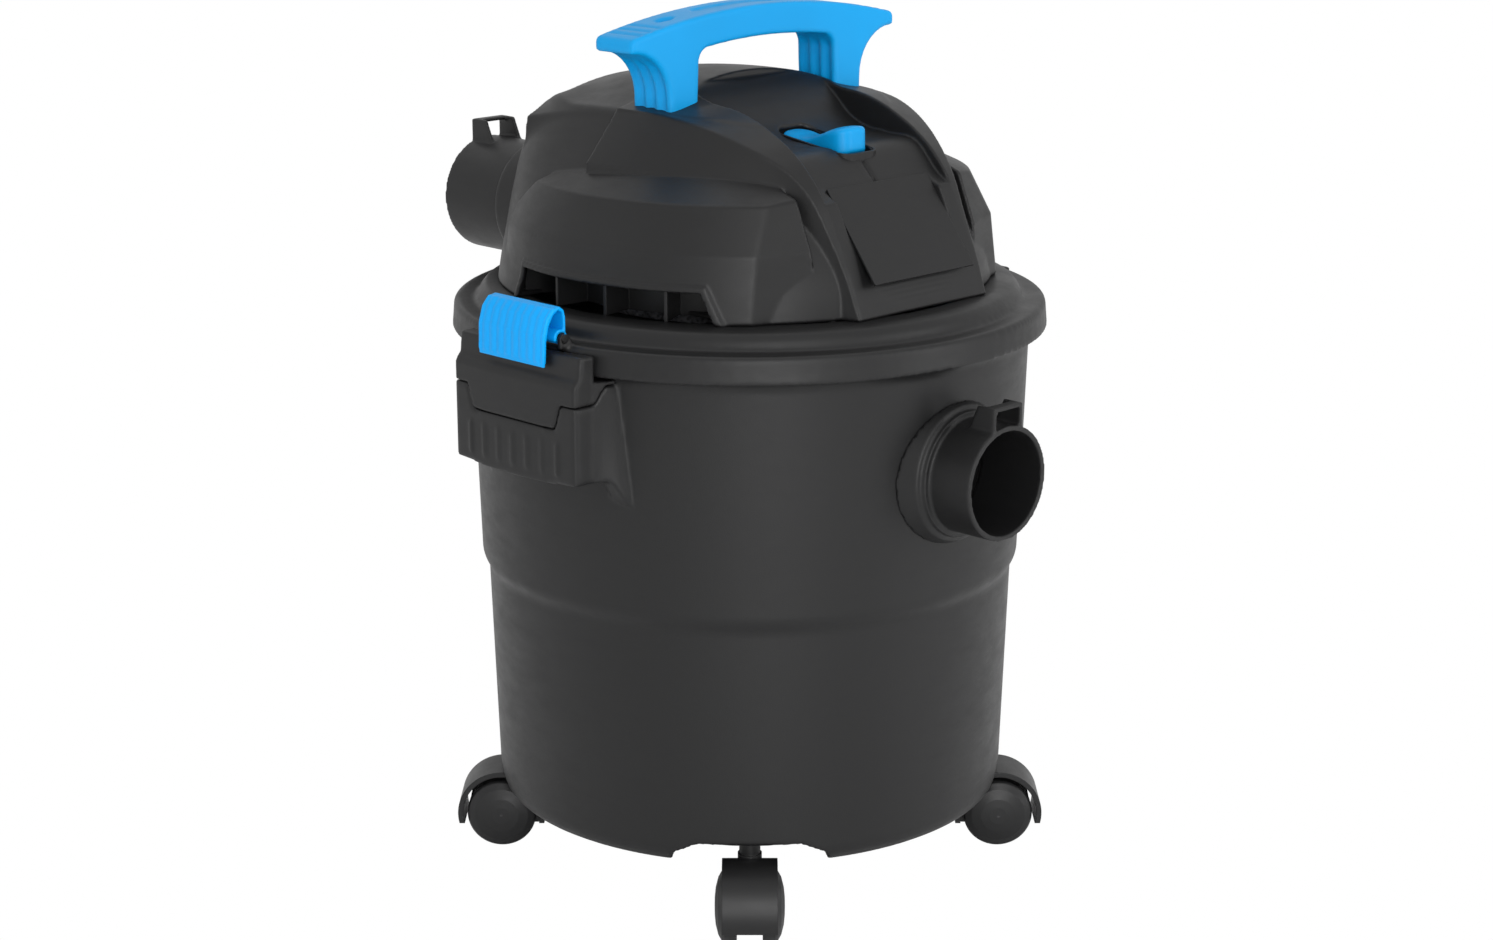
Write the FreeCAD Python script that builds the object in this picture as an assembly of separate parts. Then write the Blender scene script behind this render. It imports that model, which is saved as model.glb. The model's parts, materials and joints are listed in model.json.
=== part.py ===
import FreeCAD, Part
import math
import os

# Wet and dry shop vacuum, millimetres, +Z up, origin on the drum's axis at floor level.
# The hose inlet faces -Y, the blower port faces +Y and the two latches are at -X and +X.

V = FreeCAD.Vector
X_AXIS = V(1, 0, 0)
Y_AXIS = V(0, 1, 0)
Z_AXIS = V(0, 0, 1)
SIDES = {"left": -1, "right": 1}

# Casters
CASTER_ANGLES = {"front_left": 225, "front_right": 315, "rear_right": 45, "rear_left": 135}
STEM_RADIUS_PLACE = 133.0
AXLE_RADIUS_PLACE = 145.0
WHEEL_R = 20.0
WHEEL_INNER_Y = 7.0
WHEEL_RIM_Y = 15.0
WHEEL_DOME_Y = 19.0
AXLE_R = 2.0
STEM_R = 4.0
RUNNING_GAP = 0.05
HOOD_R = 25.5
HOOD_WALL = 3.0
HOOD_HALF_WIDTH = 15.0
HOOD_TIP_Z = 14.0
WEB_HALF_WIDTH = 5.5
COLLAR_R = 5.75
COLLAR_TOP = 53.5

# Drum
WALL = 2.6
DRUM_BASE_Z = 41.0
DRUM_BASE_R = 137.0
DRUM_EDGE = 8.0
DRUM_LOW_R = 145.2
DRUM_STEP_LOW_R = 149.0
DRUM_STEP_LOW_Z = 175.0
DRUM_STEP_HIGH_R = 152.4
DRUM_STEP_HIGH_Z = 184.0
DRUM_TOP_R = 156.4
DRUM_TOP_Z = 312.0
RIM_R = 161.0
RIM_TOP = 321.7
POCKET_WIDE_R = 42.0
POCKET_NARROW_R = 29.5
POCKET_STRAIGHT_Z = 47.5
POCKET_TOP_Z = 54.0
SOCKET_BOTTOM_Z = 55.5
BASE_SPLIT_Z = 82.0
SOCKET_TOP_Z = 80.0
SOCKET_R = 7.0
SOCKET_BOSS_R = 10.0

# Latch blocks on the drum's sides
BLOCK_HALF = 48.0
BLOCK_X = 176.0
BLOCK_LEDGE_X = 171.5
BLOCK_LEDGE_Z = 311.5
BLOCK_TOP_Z = 325.0
BLOCK_BOTTOM_Z = 257.5
SEAM_SIDE_Z = 299.0
SEAM_TONGUE_Z = 285.5
TONGUE_HALF = 34.0
SKIRT_GAP_R = 167.2
GUSSET_REACH = 57.0

# Lid
LID_R = 165.0
SKIRT_BOTTOM_R = 166.2
SKIRT_BOTTOM_Z = 313.0
LID_TOP_Z = 328.0
LID_UNDER_Z = 325.0
RING_TOP_Z = 338.0
RING_R = 142.0
RING_FOOT_R = 152.5
INTAKE_R = 28.0

# Latches
LATCH_HALF = 26.0
PIN_X = 163.5
PIN_Z = 331.5
PIN_R = 2.2
CLIP_R = 4.3
LATCH_SKIN_X = 173.4
LATCH_FOOT_Z = 317.0
LATCH_CREST_Z = 348.5
EAR_THICK = 3.0

# Head housing: radii of each level to the front, to the sides and to the rear
HEAD_LEVELS = [
    (338.0, 140.0, 140.0, 141.0),
    (355.0, 135.5, 133.0, 140.0),
    (372.0, 125.5, 123.0, 137.5),
    (389.0, 114.0, 111.5, 133.0),
    (403.0, 102.0, 101.5, 128.0),
    (416.0, 89.0, 92.5, 121.0),
    (427.0, 75.0, 84.0, 112.5),
    (436.0, 60.0, 74.0, 101.0),
    (443.0, 45.0, 61.0, 86.0),
    (449.0, 28.0, 42.0, 62.0),
    (452.5, 10.0, 16.0, 28.0),
]
HEAD_WALL = 2.6
REAR_POWER = 2.6
SECTION_POINTS = 48
BAND_HALF = 48.0
BAND_LINE = [(-112.0, 392.0), (-96.0, 400.5), (-81.0, 415.5), (-33.0, 422.0), (-20.0, 430.0), (-4.0, 446.0), (4.0, 458.0)]
PANEL_HALF = 39.6
PANEL_TOP = (-94.7, 401.6)
PANEL_BOTTOM = (-130.4, 355.0)
PANEL_THICK = 2.0

# Side vent boxes on the head
VENT_FOOT_R = 138.5
VENT_CREASE_R = 130.0
VENT_CREASE_Z = 382.0
VENT_SHELF_R = 120.5
VENT_SHELF_Z = 405.0
VENT_SIDE = [(-112.0, 338.0), (-110.0, 382.0), (-90.0, 405.0), (36.0, 405.0), (76.0, 382.0), (77.0, 338.0)]
VENT_OPENING = [(-87.0, 337.0), (-78.0, 355.0), (39.0, 355.0), (43.0, 337.0)]
VENT_RIB_ANGLES = [-26.0, -10.5, 5.0, 20.5]

# Ports
PORT_END = 190.0
INLET_Z = 253.5
INLET_R = 31.0
INLET_BORE = 28.0
EXHAUST_X = -30.0
EXHAUST_Z = 366.0
EXHAUST_R = 33.2
EXHAUST_BORE = 30.0
EXHAUST_BOSS_R = 36.0
EXHAUST_BOSS_Y = 143.0
LOOP_HALF = 11.5
LOOP_PLATE = 2.2
LOOP_HEIGHT = 11.0

# Handle
HANDLE_HALF = 14.8
HANDLE_END_X = 101.0
HANDLE_TOP_Z = 489.5
HANDLE_END_Z = 478.0
LEG_OUT_X = 73.5
LEG_IN_X = 53.3
GRIP_UNDER_Z = 472.3

# Rocker switch, built level and then tilted with the band
ROCKER_Y = -57.0
ROCKER_Z = 415.0
BAND_TILT = 7.6
BAND_Z = 418.8
ROCKER_PIN_R = 1.5
ROCKER_REST_TILT = 9.0
ROCKER_HALF_LENGTH = 24.5
ROCKER_HALF_WIDTH = 11.0
WELL_HALF_LENGTH = 27.0
WELL_HALF_WIDTH = 13.0

# Motor
SHAFT_R = 4.0
SHROUD_R = 66.0
SHROUD_BOTTOM = 330.0
SHROUD_TOP = 350.0
LOWER_BEARING = (350.0, 355.0)
UPPER_BEARING = (405.0, 411.0)
BRACKET_Z = (403.5, 411.0)
COMMUTATOR_Z = (392.0, 403.0)
STATOR_R = 46.0
STATOR_BORE = 29.5
ARMATURE_R = 28.8
CORE_Z = (360.0, 388.0)
FAN_R = 58.0

# Filter and float
CAGE_R = 48.0
CAGE_WALL = 2.5
CAGE_BOTTOM = 214.0
FILTER_R = 62.0
FLOAT_R = 38.0
FLOAT_HEIGHT = 58.0


def box(x0, x1, y0, y1, z0, z1):
    return Part.makeBox(x1 - x0, y1 - y0, z1 - z0, V(x0, y0, z0))


def rod(r, start, end):
    direction = end - start
    return Part.makeCylinder(r, direction.Length, start, direction)


def tube(outer, inner, start, end):
    return rod(outer, start, end).cut(rod(inner, start, end))


def wire(points):
    return Part.makePolygon(points + [points[0]])


def revolve(outline):
    """Turn a closed outline of (radius, height) points about the Z axis."""
    face = Part.Face(wire([V(r, 0, z) for r, z in outline]))
    return face.revolve(V(0, 0, 0), Z_AXIS, 360)


def prism_x(outline, x0, x1):
    """Extrude a closed outline of (y, z) points from x0 to x1."""
    face = Part.Face(wire([V(x0, y, z) for y, z in outline]))
    return face.extrude(V(x1 - x0, 0, 0))


def prism_y(outline, y0, y1):
    """Extrude a closed outline of (x, z) points from y0 to y1."""
    face = Part.Face(wire([V(x, y0, z) for x, z in outline]))
    return face.extrude(V(0, y1 - y0, 0))


def turned(shape, angle, centre=V(0, 0, 0), axis=Z_AXIS):
    copy = shape.copy()
    copy.rotate(centre, axis, angle)
    return copy


def mirrored(shape):
    return shape.mirror(V(0, 0, 0), X_AXIS)


def for_side(shape, side):
    """Shapes are drawn on the -X side, and mirrored for the +X side."""
    return shape if side < 0 else mirrored(shape)


def group(shapes):
    return Part.makeCompound(shapes)


# ---------------------------------------------------------------- casters

def caster_hood():
    ring = tube(HOOD_R, HOOD_R - HOOD_WALL, V(AXLE_RADIUS_PLACE, -HOOD_HALF_WIDTH, WHEEL_R),
                V(AXLE_RADIUS_PLACE, HOOD_HALF_WIDTH, WHEEL_R))
    cover = ring.common(box(100, 200, -20, 20, HOOD_TIP_Z, 60))
    disc = rod(HOOD_R - 1, V(AXLE_RADIUS_PLACE, -WEB_HALF_WIDTH, WHEEL_R),
               V(AXLE_RADIUS_PLACE, WEB_HALF_WIDTH, WHEEL_R))
    web = disc.common(box(118, AXLE_RADIUS_PLACE + 14, -20, 20, 11, 60))
    collar = rod(COLLAR_R, V(STEM_RADIUS_PLACE, 0, 32), V(STEM_RADIUS_PLACE, 0, COLLAR_TOP))
    foot = rod(COLLAR_R + 0.8, V(STEM_RADIUS_PLACE, 0, 32), V(STEM_RADIUS_PLACE, 0, 46))
    shape = cover.fuse([web, collar, foot])
    shape = shape.cut(rod(STEM_R, V(STEM_RADIUS_PLACE, 0, 33), V(STEM_RADIUS_PLACE, 0, 60)))
    axle_hole = rod(AXLE_R + RUNNING_GAP, V(AXLE_RADIUS_PLACE, -10, WHEEL_R), V(AXLE_RADIUS_PLACE, 10, WHEEL_R))
    return shape.cut(axle_hole)


def caster_stem():
    pin = rod(STEM_R, V(STEM_RADIUS_PLACE, 0, 33), V(STEM_RADIUS_PLACE, 0, SOCKET_TOP_Z - 4))
    groove = tube(STEM_R + 1, STEM_R - 0.8, V(STEM_RADIUS_PLACE, 0, 70), V(STEM_RADIUS_PLACE, 0, 72))
    return pin.cut(groove)


def caster_axle():
    return rod(AXLE_R, V(AXLE_RADIUS_PLACE, -13, WHEEL_R), V(AXLE_RADIUS_PLACE, 13, WHEEL_R))


def caster_wheel():
    outline = [(0, WHEEL_INNER_Y), (WHEEL_R, WHEEL_INNER_Y), (WHEEL_R, 13.5), (19.0, WHEEL_RIM_Y),
               (15.5, 17.0), (10.0, 18.4), (5.0, WHEEL_DOME_Y - 0.1), (0, WHEEL_DOME_Y)]
    wheel = revolve(outline)
    wheel.rotate(V(0, 0, 0), X_AXIS, -90)
    wheel.translate(V(AXLE_RADIUS_PLACE, 0, WHEEL_R))
    return wheel.cut(caster_axle())


def caster_wheels():
    wheel = caster_wheel()
    other = wheel.mirror(V(0, 0, 0), Y_AXIS)
    return group([wheel, other])


def caster_socket():
    return tube(SOCKET_R, STEM_R + RUNNING_GAP, V(STEM_RADIUS_PLACE, 0, SOCKET_BOTTOM_Z),
                V(STEM_RADIUS_PLACE, 0, SOCKET_TOP_Z))


# ---------------------------------------------------------------- drum

def drum_outline(inset, floor_z, top_z):
    """The drum's profile, moved inwards by inset."""
    low = DRUM_BASE_Z + DRUM_EDGE
    points = [(0, floor_z), (DRUM_BASE_R - inset, floor_z)]
    for step in (30, 60):
        turn = math.radians(step)
        edge = DRUM_LOW_R - 0.3 - DRUM_BASE_R
        points.append((DRUM_BASE_R - inset + edge * math.sin(turn), floor_z + (low - DRUM_BASE_Z) * (1 - math.cos(turn))))
    points += [(DRUM_LOW_R - 0.3 - inset, low + floor_z - DRUM_BASE_Z),
               (DRUM_STEP_LOW_R - inset, DRUM_STEP_LOW_Z),
               (DRUM_STEP_HIGH_R - inset, DRUM_STEP_HIGH_Z),
               (DRUM_TOP_R - inset, top_z), (0, top_z)]
    return points


def pocket(grow):
    """The round space in the drum's underside in which a caster swivels."""
    wide = POCKET_WIDE_R + grow
    centre = V(STEM_RADIUS_PLACE, 0, DRUM_BASE_Z - 6)
    straight = Part.makeCylinder(wide, POCKET_STRAIGHT_Z - DRUM_BASE_Z + 6, centre)
    cone = Part.makeCone(wide, POCKET_NARROW_R + grow, POCKET_TOP_Z + grow - POCKET_STRAIGHT_Z,
                         V(STEM_RADIUS_PLACE, 0, POCKET_STRAIGHT_Z))
    return straight.fuse(cone)


def rib_box():
    """The ribbed box under each latch block, part of the drum."""
    outer = box(-BLOCK_X, -140, -BLOCK_HALF, BLOCK_HALF, BLOCK_BOTTOM_Z, SEAM_SIDE_Z)
    tongue = box(-BLOCK_X - 2, -140, -TONGUE_HALF, TONGUE_HALF, SEAM_TONGUE_Z, SEAM_SIDE_Z + 1)
    hollow = box(-BLOCK_X + WALL, -140, -BLOCK_HALF + WALL, BLOCK_HALF - WALL, BLOCK_BOTTOM_Z - 1, SEAM_TONGUE_Z - WALL)
    shape = outer.cut(tongue).cut(hollow)
    for k in range(7):
        y = -36 + 12 * k
        shape = shape.fuse(box(-BLOCK_X - 0.8, -BLOCK_X + 1, y - 1, y + 1, BLOCK_BOTTOM_Z + 2, SEAM_TONGUE_Z - 2))
    for end in (-1, 1):
        web = [(end * 44, 262), (end * GUSSET_REACH, 243), (end * 52, 309), (end * BLOCK_HALF, 309),
               (end * BLOCK_HALF, SEAM_SIDE_Z), (end * 44, SEAM_SIDE_Z)]
        shape = shape.fuse(prism_x(web, -152, -140))
    return shape


def drum_parts():
    """The drum's three regions: its wall, its base with the caster pockets, and the latch boxes on its sides."""
    outer = revolve(drum_outline(0, DRUM_BASE_Z, DRUM_TOP_Z))
    rim = revolve([(150, DRUM_TOP_Z - 4), (DRUM_TOP_R - 0.1, DRUM_TOP_Z - 4), (RIM_R, DRUM_TOP_Z + 3),
                   (RIM_R, RIM_TOP), (150, RIM_TOP)])
    inner = revolve(drum_outline(WALL, DRUM_BASE_Z + WALL + 0.4, RIM_TOP + 1))
    solid = outer.fuse(rim)
    boxes = [for_side(rib_box(), side).cut(solid) for side in SIDES.values()]
    for angle in CASTER_ANGLES.values():
        solid = solid.cut(turned(pocket(0), angle))
    for angle in CASTER_ANGLES.values():
        inner = inner.cut(turned(pocket(WALL), angle))
        boss = rod(SOCKET_BOSS_R, V(STEM_RADIUS_PLACE, 0, POCKET_TOP_Z - 1), V(STEM_RADIUS_PLACE, 0, SOCKET_TOP_Z))
        inner = inner.cut(turned(boss, angle))
    shell = solid.cut(inner)
    for angle in CASTER_ANGLES.values():
        hole = rod(SOCKET_R, V(STEM_RADIUS_PLACE, 0, SOCKET_BOTTOM_Z), V(STEM_RADIUS_PLACE, 0, SOCKET_TOP_Z + 1))
        throat = rod(COLLAR_R + 0.5, V(STEM_RADIUS_PLACE, 0, POCKET_TOP_Z - 3), V(STEM_RADIUS_PLACE, 0, SOCKET_BOTTOM_Z + 1))
        shell = shell.cut(turned(hole.fuse(throat), angle))
    shell = shell.cut(rod(INLET_R, V(0, -170, INLET_Z), V(0, -130, INLET_Z)))
    wall = shell.common(box(-200, 200, -200, 200, BASE_SPLIT_Z, 400))
    base = shell.common(box(-200, 200, -200, 200, 0, BASE_SPLIT_Z))
    return wall, base, group(boxes)


def catch_block():
    """Upper block that the latch closes on; it stands on the ribbed box."""
    low = box(-BLOCK_X, -140, -BLOCK_HALF, BLOCK_HALF, SEAM_SIDE_Z, BLOCK_LEDGE_Z)
    tongue = box(-BLOCK_X, -140, -TONGUE_HALF, TONGUE_HALF, SEAM_TONGUE_Z, SEAM_SIDE_Z)
    high = box(-BLOCK_LEDGE_X, -140, -BLOCK_HALF, BLOCK_HALF, BLOCK_LEDGE_Z, BLOCK_TOP_Z)
    shape = low.fuse([tongue, high])
    shape = shape.cut(Part.makeCylinder(SKIRT_GAP_R, 40, V(0, 0, BLOCK_LEDGE_Z - 0.5)))
    wall = revolve([(0, 200), (DRUM_STEP_HIGH_R + 1.0, 200), (DRUM_TOP_R + 0.05, DRUM_TOP_Z - 4), (0, DRUM_TOP_Z - 4)])
    rim = revolve([(0, DRUM_TOP_Z - 4), (DRUM_TOP_R, DRUM_TOP_Z - 4), (RIM_R, DRUM_TOP_Z + 3), (RIM_R, 330), (0, 330)])
    hollow = box(-BLOCK_X + WALL, -140, -TONGUE_HALF + WALL, TONGUE_HALF - WALL, SEAM_TONGUE_Z - 1, BLOCK_LEDGE_Z - WALL)
    return shape.cut(wall).cut(rim).cut(hollow)


# ---------------------------------------------------------------- ports

def lock_loop(x, top_z, end_y, out):
    """Small frame on top of a port that holds the hose's locking button; out is the port's direction."""
    z0 = top_z - 2
    z1 = top_z + LOOP_HEIGHT
    back = end_y - out * 18
    slope = end_y - out * 12
    side = [(end_y, z0), (back, z0), (slope, z1), (end_y, z1)]
    plate_a = prism_x(side, x - LOOP_HALF, x - LOOP_HALF + LOOP_PLATE)
    plate_b = prism_x(side, x + LOOP_HALF - LOOP_PLATE, x + LOOP_HALF)
    low_y, high_y = sorted((end_y, end_y - out * 7))
    bar = box(x - LOOP_HALF, x + LOOP_HALF, low_y, high_y, z1 - LOOP_PLATE, z1)
    return plate_a.fuse([plate_b, bar])


def inlet_port():
    body = rod(INLET_R, V(0, -PORT_END, INLET_Z), V(0, -148, INLET_Z))
    ring = rod(INLET_R + 3.2, V(0, -163, INLET_Z), V(0, -157, INLET_Z))
    cone = Part.makeCone(INLET_R + 5.5, INLET_R + 15, 20, V(0, -160, INLET_Z), Y_AXIS)
    wall = revolve([(0, 186), (DRUM_STEP_HIGH_R + 0.08, 186), (DRUM_TOP_R + 0.02, DRUM_TOP_Z), (0, DRUM_TOP_Z)])
    outside = cone.fuse(ring).cut(wall)
    shape = body.fuse([outside, lock_loop(0, INLET_Z + INLET_R, -PORT_END, -1)])
    return shape.cut(rod(INLET_BORE, V(0, -PORT_END - 30, INLET_Z), V(0, -100, INLET_Z)))


def inlet_seal():
    ring = tube(INLET_R + 5, INLET_R, V(0, -156, INLET_Z), V(0, -145, INLET_Z))
    return ring.common(revolve(drum_outline(WALL + 0.02, DRUM_BASE_Z + 10, RIM_TOP)))


def inlet_deflector():
    """Open scoop inside the drum that turns the incoming air down and sideways."""
    flange = tube(INLET_R + 6, INLET_BORE, V(0, -145, INLET_Z), V(0, -142.5, INLET_Z))
    hood = tube(INLET_R + 2, INLET_R, V(0, -142.5, INLET_Z), V(0, -112, INLET_Z))
    end = rod(INLET_R + 2, V(0, -112, INLET_Z), V(0, -109.5, INLET_Z))
    shell = hood.fuse(end)
    opening = box(2, 60, -143, -100, INLET_Z - 60, INLET_Z + 60)
    half = shell.cut(opening)
    bottom = box(-60, 60, -143, -100, INLET_Z - 60, INLET_Z - 18)
    return flange.fuse(half.cut(bottom))


def exhaust_port():
    body = rod(EXHAUST_R, V(EXHAUST_X, EXHAUST_BOSS_Y, EXHAUST_Z), V(EXHAUST_X, PORT_END, EXHAUST_Z))
    spigot = rod(EXHAUST_BORE + 1.8, V(EXHAUST_X, 128, EXHAUST_Z), V(EXHAUST_X, EXHAUST_BOSS_Y, EXHAUST_Z))
    shape = body.fuse([spigot, lock_loop(EXHAUST_X, EXHAUST_Z + EXHAUST_R, PORT_END, 1)])
    return shape.cut(rod(EXHAUST_BORE, V(EXHAUST_X, 100, EXHAUST_Z), V(EXHAUST_X, PORT_END + 30, EXHAUST_Z)))


# ---------------------------------------------------------------- lid

def lid_flange():
    outline = [(INTAKE_R, LID_UNDER_Z), (INTAKE_R, LID_TOP_Z), (131, LID_TOP_Z), (131, RING_TOP_Z),
               (RING_R, RING_TOP_Z), (147.5, 336.4), (150.4, 333.2), (RING_FOOT_R, LID_TOP_Z),
               (LID_R - 1.6, LID_TOP_Z), (LID_R, LID_TOP_Z - 1.4), (SKIRT_BOTTOM_R, SKIRT_BOTTOM_Z),
               (163.4, SKIRT_BOTTOM_Z), (162.4, LID_UNDER_Z), (149.6, LID_UNDER_Z), (147.6, 331.5),
               (145.2, 334.2), (134, 335.2), (134, LID_UNDER_Z)]
    lid = revolve(outline)
    for side in SIDES.values():
        relief = box(-170, -PIN_X + CLIP_R + 1.6, -LATCH_HALF - 0.6, LATCH_HALF + 0.6, PIN_Z - CLIP_R - 0.7, 345)
        lid = lid.cut(for_side(relief, side))
        for end in (-1, 1):
            inner_y = end * (LATCH_HALF + 0.6)
            outer_y = end * (LATCH_HALF + 0.6 + EAR_THICK)
            low_y, high_y = sorted((inner_y, outer_y))
            ear = box(-PIN_X - 3.2, -PIN_X + 4.5, low_y, high_y, LID_UNDER_Z + 0.5, PIN_Z)
            tip = rod(3.2, V(-PIN_X, low_y, PIN_Z), V(-PIN_X, high_y, PIN_Z))
            lid = lid.fuse(for_side(ear.fuse(tip), side))
        lid = lid.cut(for_side(latch_pin(), side))
    lid = lid.cut(rod(EXHAUST_R + 0.3, V(EXHAUST_X, 120, EXHAUST_Z), V(EXHAUST_X, 200, EXHAUST_Z)))
    for screw in lid_screw_places():
        lid = lid.cut(rod(2.2, V(screw.x, screw.y, 320), V(screw.x, screw.y, 330)))
    return lid


def lid_gasket():
    return revolve([(150.5, 322.2), (161.0, 322.2), (161.0, LID_UNDER_Z), (150.5, LID_UNDER_Z)])


def latch_pin():
    reach = LATCH_HALF + 0.6 + EAR_THICK
    return rod(PIN_R, V(-PIN_X, -reach, PIN_Z), V(-PIN_X, reach, PIN_Z))


def latch():
    """Clamp: outer skin with a finger lip, rounded crest, and an inner wall ending in a clip round the pin."""
    outer = [(-LATCH_SKIN_X - 2.6, LATCH_FOOT_Z), (-LATCH_SKIN_X, LATCH_FOOT_Z - 0.4), (-LATCH_SKIN_X + 0.3, 330.0),
             (-171.2, 338.5), (-168.0, 343.5), (-164.5, 345.8), (-162.6, 345.0), (-162.0, 341.0), (-162.0, 334.0),
             (-159.4, 334.0), (-159.4, 342.0), (-160.6, 346.6), (-164.0, LATCH_CREST_Z), (-168.6, 347.0),
             (-172.8, 342.0), (-175.4, 334.0)]
    shape = prism_y(outer, -LATCH_HALF, LATCH_HALF)
    clip = rod(CLIP_R, V(-PIN_X, -LATCH_HALF, PIN_Z), V(-PIN_X, LATCH_HALF, PIN_Z))
    shape = shape.fuse(clip)
    shape = shape.cut(rod(PIN_R + RUNNING_GAP + 0.02, V(-PIN_X, -40, PIN_Z), V(-PIN_X, 40, PIN_Z)))
    mouth = [(-PIN_X - 6, PIN_Z - 6), (-PIN_X - 1.0, PIN_Z - 6), (-PIN_X - 1.0, PIN_Z - 2.0), (-PIN_X - 6, PIN_Z - 2.0)]
    return shape.cut(prism_y(mouth, -LATCH_HALF - 1, LATCH_HALF + 1).common(rod(CLIP_R + 1, V(-PIN_X, -40, PIN_Z), V(-PIN_X, 40, PIN_Z))))


def lid_screw_places():
    return [V(125 * math.cos(math.radians(a)), 125 * math.sin(math.radians(a)), 0) for a in (65, 115, 245, 295)]


def housing_screws():
    screws = []
    for place in lid_screw_places():
        head = rod(4.2, V(place.x, place.y, 322.4), V(place.x, place.y, LID_UNDER_Z))
        screws.append(head.fuse(rod(2.2, V(place.x, place.y, LID_UNDER_Z), V(place.x, place.y, 344))))
    return group(screws)


# ---------------------------------------------------------------- head housing

def section(z, front, side, rear):
    """Closed smooth outline at height z: circular at the front, squarer at the rear."""
    points = []
    for k in range(SECTION_POINTS):
        turn = 2 * math.pi * k / SECTION_POINTS
        c = math.cos(turn)
        s = math.sin(turn)
        if s <= 0:
            points.append(V(side * c, front * s, z))
        else:
            power = 2 / REAR_POWER
            points.append(V(side * math.copysign(abs(c) ** power, c), rear * s ** power, z))
    curve = Part.BSplineCurve()
    curve.interpolate(points, PeriodicFlag=True)
    return Part.Wire([curve.toShape()])


def head_loft(inset):
    wires = []
    for z, front, side, rear in HEAD_LEVELS:
        low = z - (inset if z > 420 else inset * (z - 338) / 82)
        if min(front, side, rear) - inset > 4:
            wires.append(section(low, front - inset, side - inset, rear - inset))
    return Part.makeLoft(wires, True, False)


def vent_box(inset):
    ring = revolve([(60, 338), (VENT_FOOT_R - inset, 338), (VENT_CREASE_R - inset, VENT_CREASE_Z),
                    (VENT_SHELF_R - inset, VENT_SHELF_Z - inset), (60, VENT_SHELF_Z - inset)])
    centre_y = sum(y for y, z in VENT_SIDE) / len(VENT_SIDE)
    side = []
    for y, z in VENT_SIDE:
        side.append((y - math.copysign(inset, y - centre_y), min(z, VENT_SHELF_Z - inset)))
    return ring.common(prism_x(side, -150, -62 - inset))


def band_tool(inset):
    line = [(y, z - inset) for y, z in BAND_LINE]
    outline = line + [(4.0, 480.0), (-150.0, 480.0), (-150.0, 392.0 - inset)]
    return prism_x(outline, -BAND_HALF - inset, BAND_HALF + inset)


def panel_tool(inset, half):
    (y0, z0), (y1, z1) = PANEL_TOP, PANEL_BOTTOM
    length = math.hypot(y1 - y0, z1 - z0)
    ny = -inset * (z0 - z1) / length
    nz = inset * (y0 - y1) / length
    outline = [(y0 - ny, z0 - nz), (y1 - ny, z1 - nz), (y1 - 40, z1 - nz), (y0 - 60, z0 - nz)]
    return prism_x(outline, -half, half)


def head_solid(inset):
    shape = head_loft(inset)
    shape = shape.fuse([vent_box(inset), mirrored(vent_box(inset))])
    boss_end = EXHAUST_BOSS_Y - inset
    boss = rod(EXHAUST_BOSS_R - inset, V(EXHAUST_X, 60, EXHAUST_Z), V(EXHAUST_X, boss_end, EXHAUST_Z))
    shape = shape.fuse(boss.common(box(-200, 200, 0, 200, 338, 420)))
    shape = shape.cut(band_tool(inset))
    return shape.cut(panel_tool(inset, PANEL_HALF + inset))


def screw_boss(place):
    """Post for a housing screw, with a web that reaches the housing's wall."""
    post = rod(5, V(place.x, place.y, RING_TOP_Z - 1), V(place.x, place.y, 352))
    rib = box(125, 150, -1.5, 1.5, RING_TOP_Z - 1, 352)
    return post.fuse(turned(rib, math.degrees(math.atan2(place.y, place.x))))


def rounded_plan(half_x, half_y, corner, z0, z1):
    """Upright block with rounded corners, centred on the rocker."""
    shape = box(-half_x, half_x, ROCKER_Y - half_y + corner, ROCKER_Y + half_y - corner, z0, z1)
    shape = shape.fuse(box(-half_x + corner, half_x - corner, ROCKER_Y - half_y, ROCKER_Y + half_y, z0, z1))
    for sx in (-1, 1):
        for sy in (-1, 1):
            x = sx * (half_x - corner)
            y = ROCKER_Y + sy * (half_y - corner)
            shape = shape.fuse(rod(corner, V(x, y, z0), V(x, y, z1)))
    return shape


def on_band(shape):
    """Tilt a shape drawn level so that it lies square to the sloping band."""
    return turned(shape, BAND_TILT, V(0, ROCKER_Y, BAND_Z), X_AXIS)


def well_tool(grow, z0, z1):
    return on_band(rounded_plan(WELL_HALF_WIDTH + grow, WELL_HALF_LENGTH + grow, 6 + grow, z0, z1))


def head_housing(outer):
    hollow = head_solid(HEAD_WALL)
    for place in lid_screw_places():
        hollow = hollow.cut(screw_boss(place))
    shell = outer.cut(hollow)
    for place in lid_screw_places():
        shell = shell.fuse(rod(5, V(place.x, place.y, LID_TOP_Z), V(place.x, place.y, RING_TOP_Z)))
    for side in SIDES.values():
        opening = prism_x(VENT_OPENING, -150, -108)
        shell = shell.cut(for_side(opening, side))
    for place in lid_screw_places():
        shell = shell.cut(rod(2.2, V(place.x, place.y, 326), V(place.x, place.y, 344)))
    shell = shell.cut(rod(EXHAUST_BORE + 1.8, V(EXHAUST_X, 120, EXHAUST_Z), V(EXHAUST_X, 160, EXHAUST_Z)))
    shell = shell.cut(rod(7.0, V(GLAND_PLACE.x, 90, GLAND_PLACE.z), V(GLAND_PLACE.x, 160, GLAND_PLACE.z)))
    shell = shell.cut(panel_tool(PANEL_THICK, PANEL_HALF - 3).common(panel_tool(-20, PANEL_HALF - 3)))
    shell = shell.cut(panel_window())
    shell = shell.cut(well_tool(1.6, 400, 440))
    for x in (-63.4, 63.4):
        shell = shell.cut(rod(2.2, V(x, 0, 420), V(x, 0, 460)))
    return shell


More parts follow.
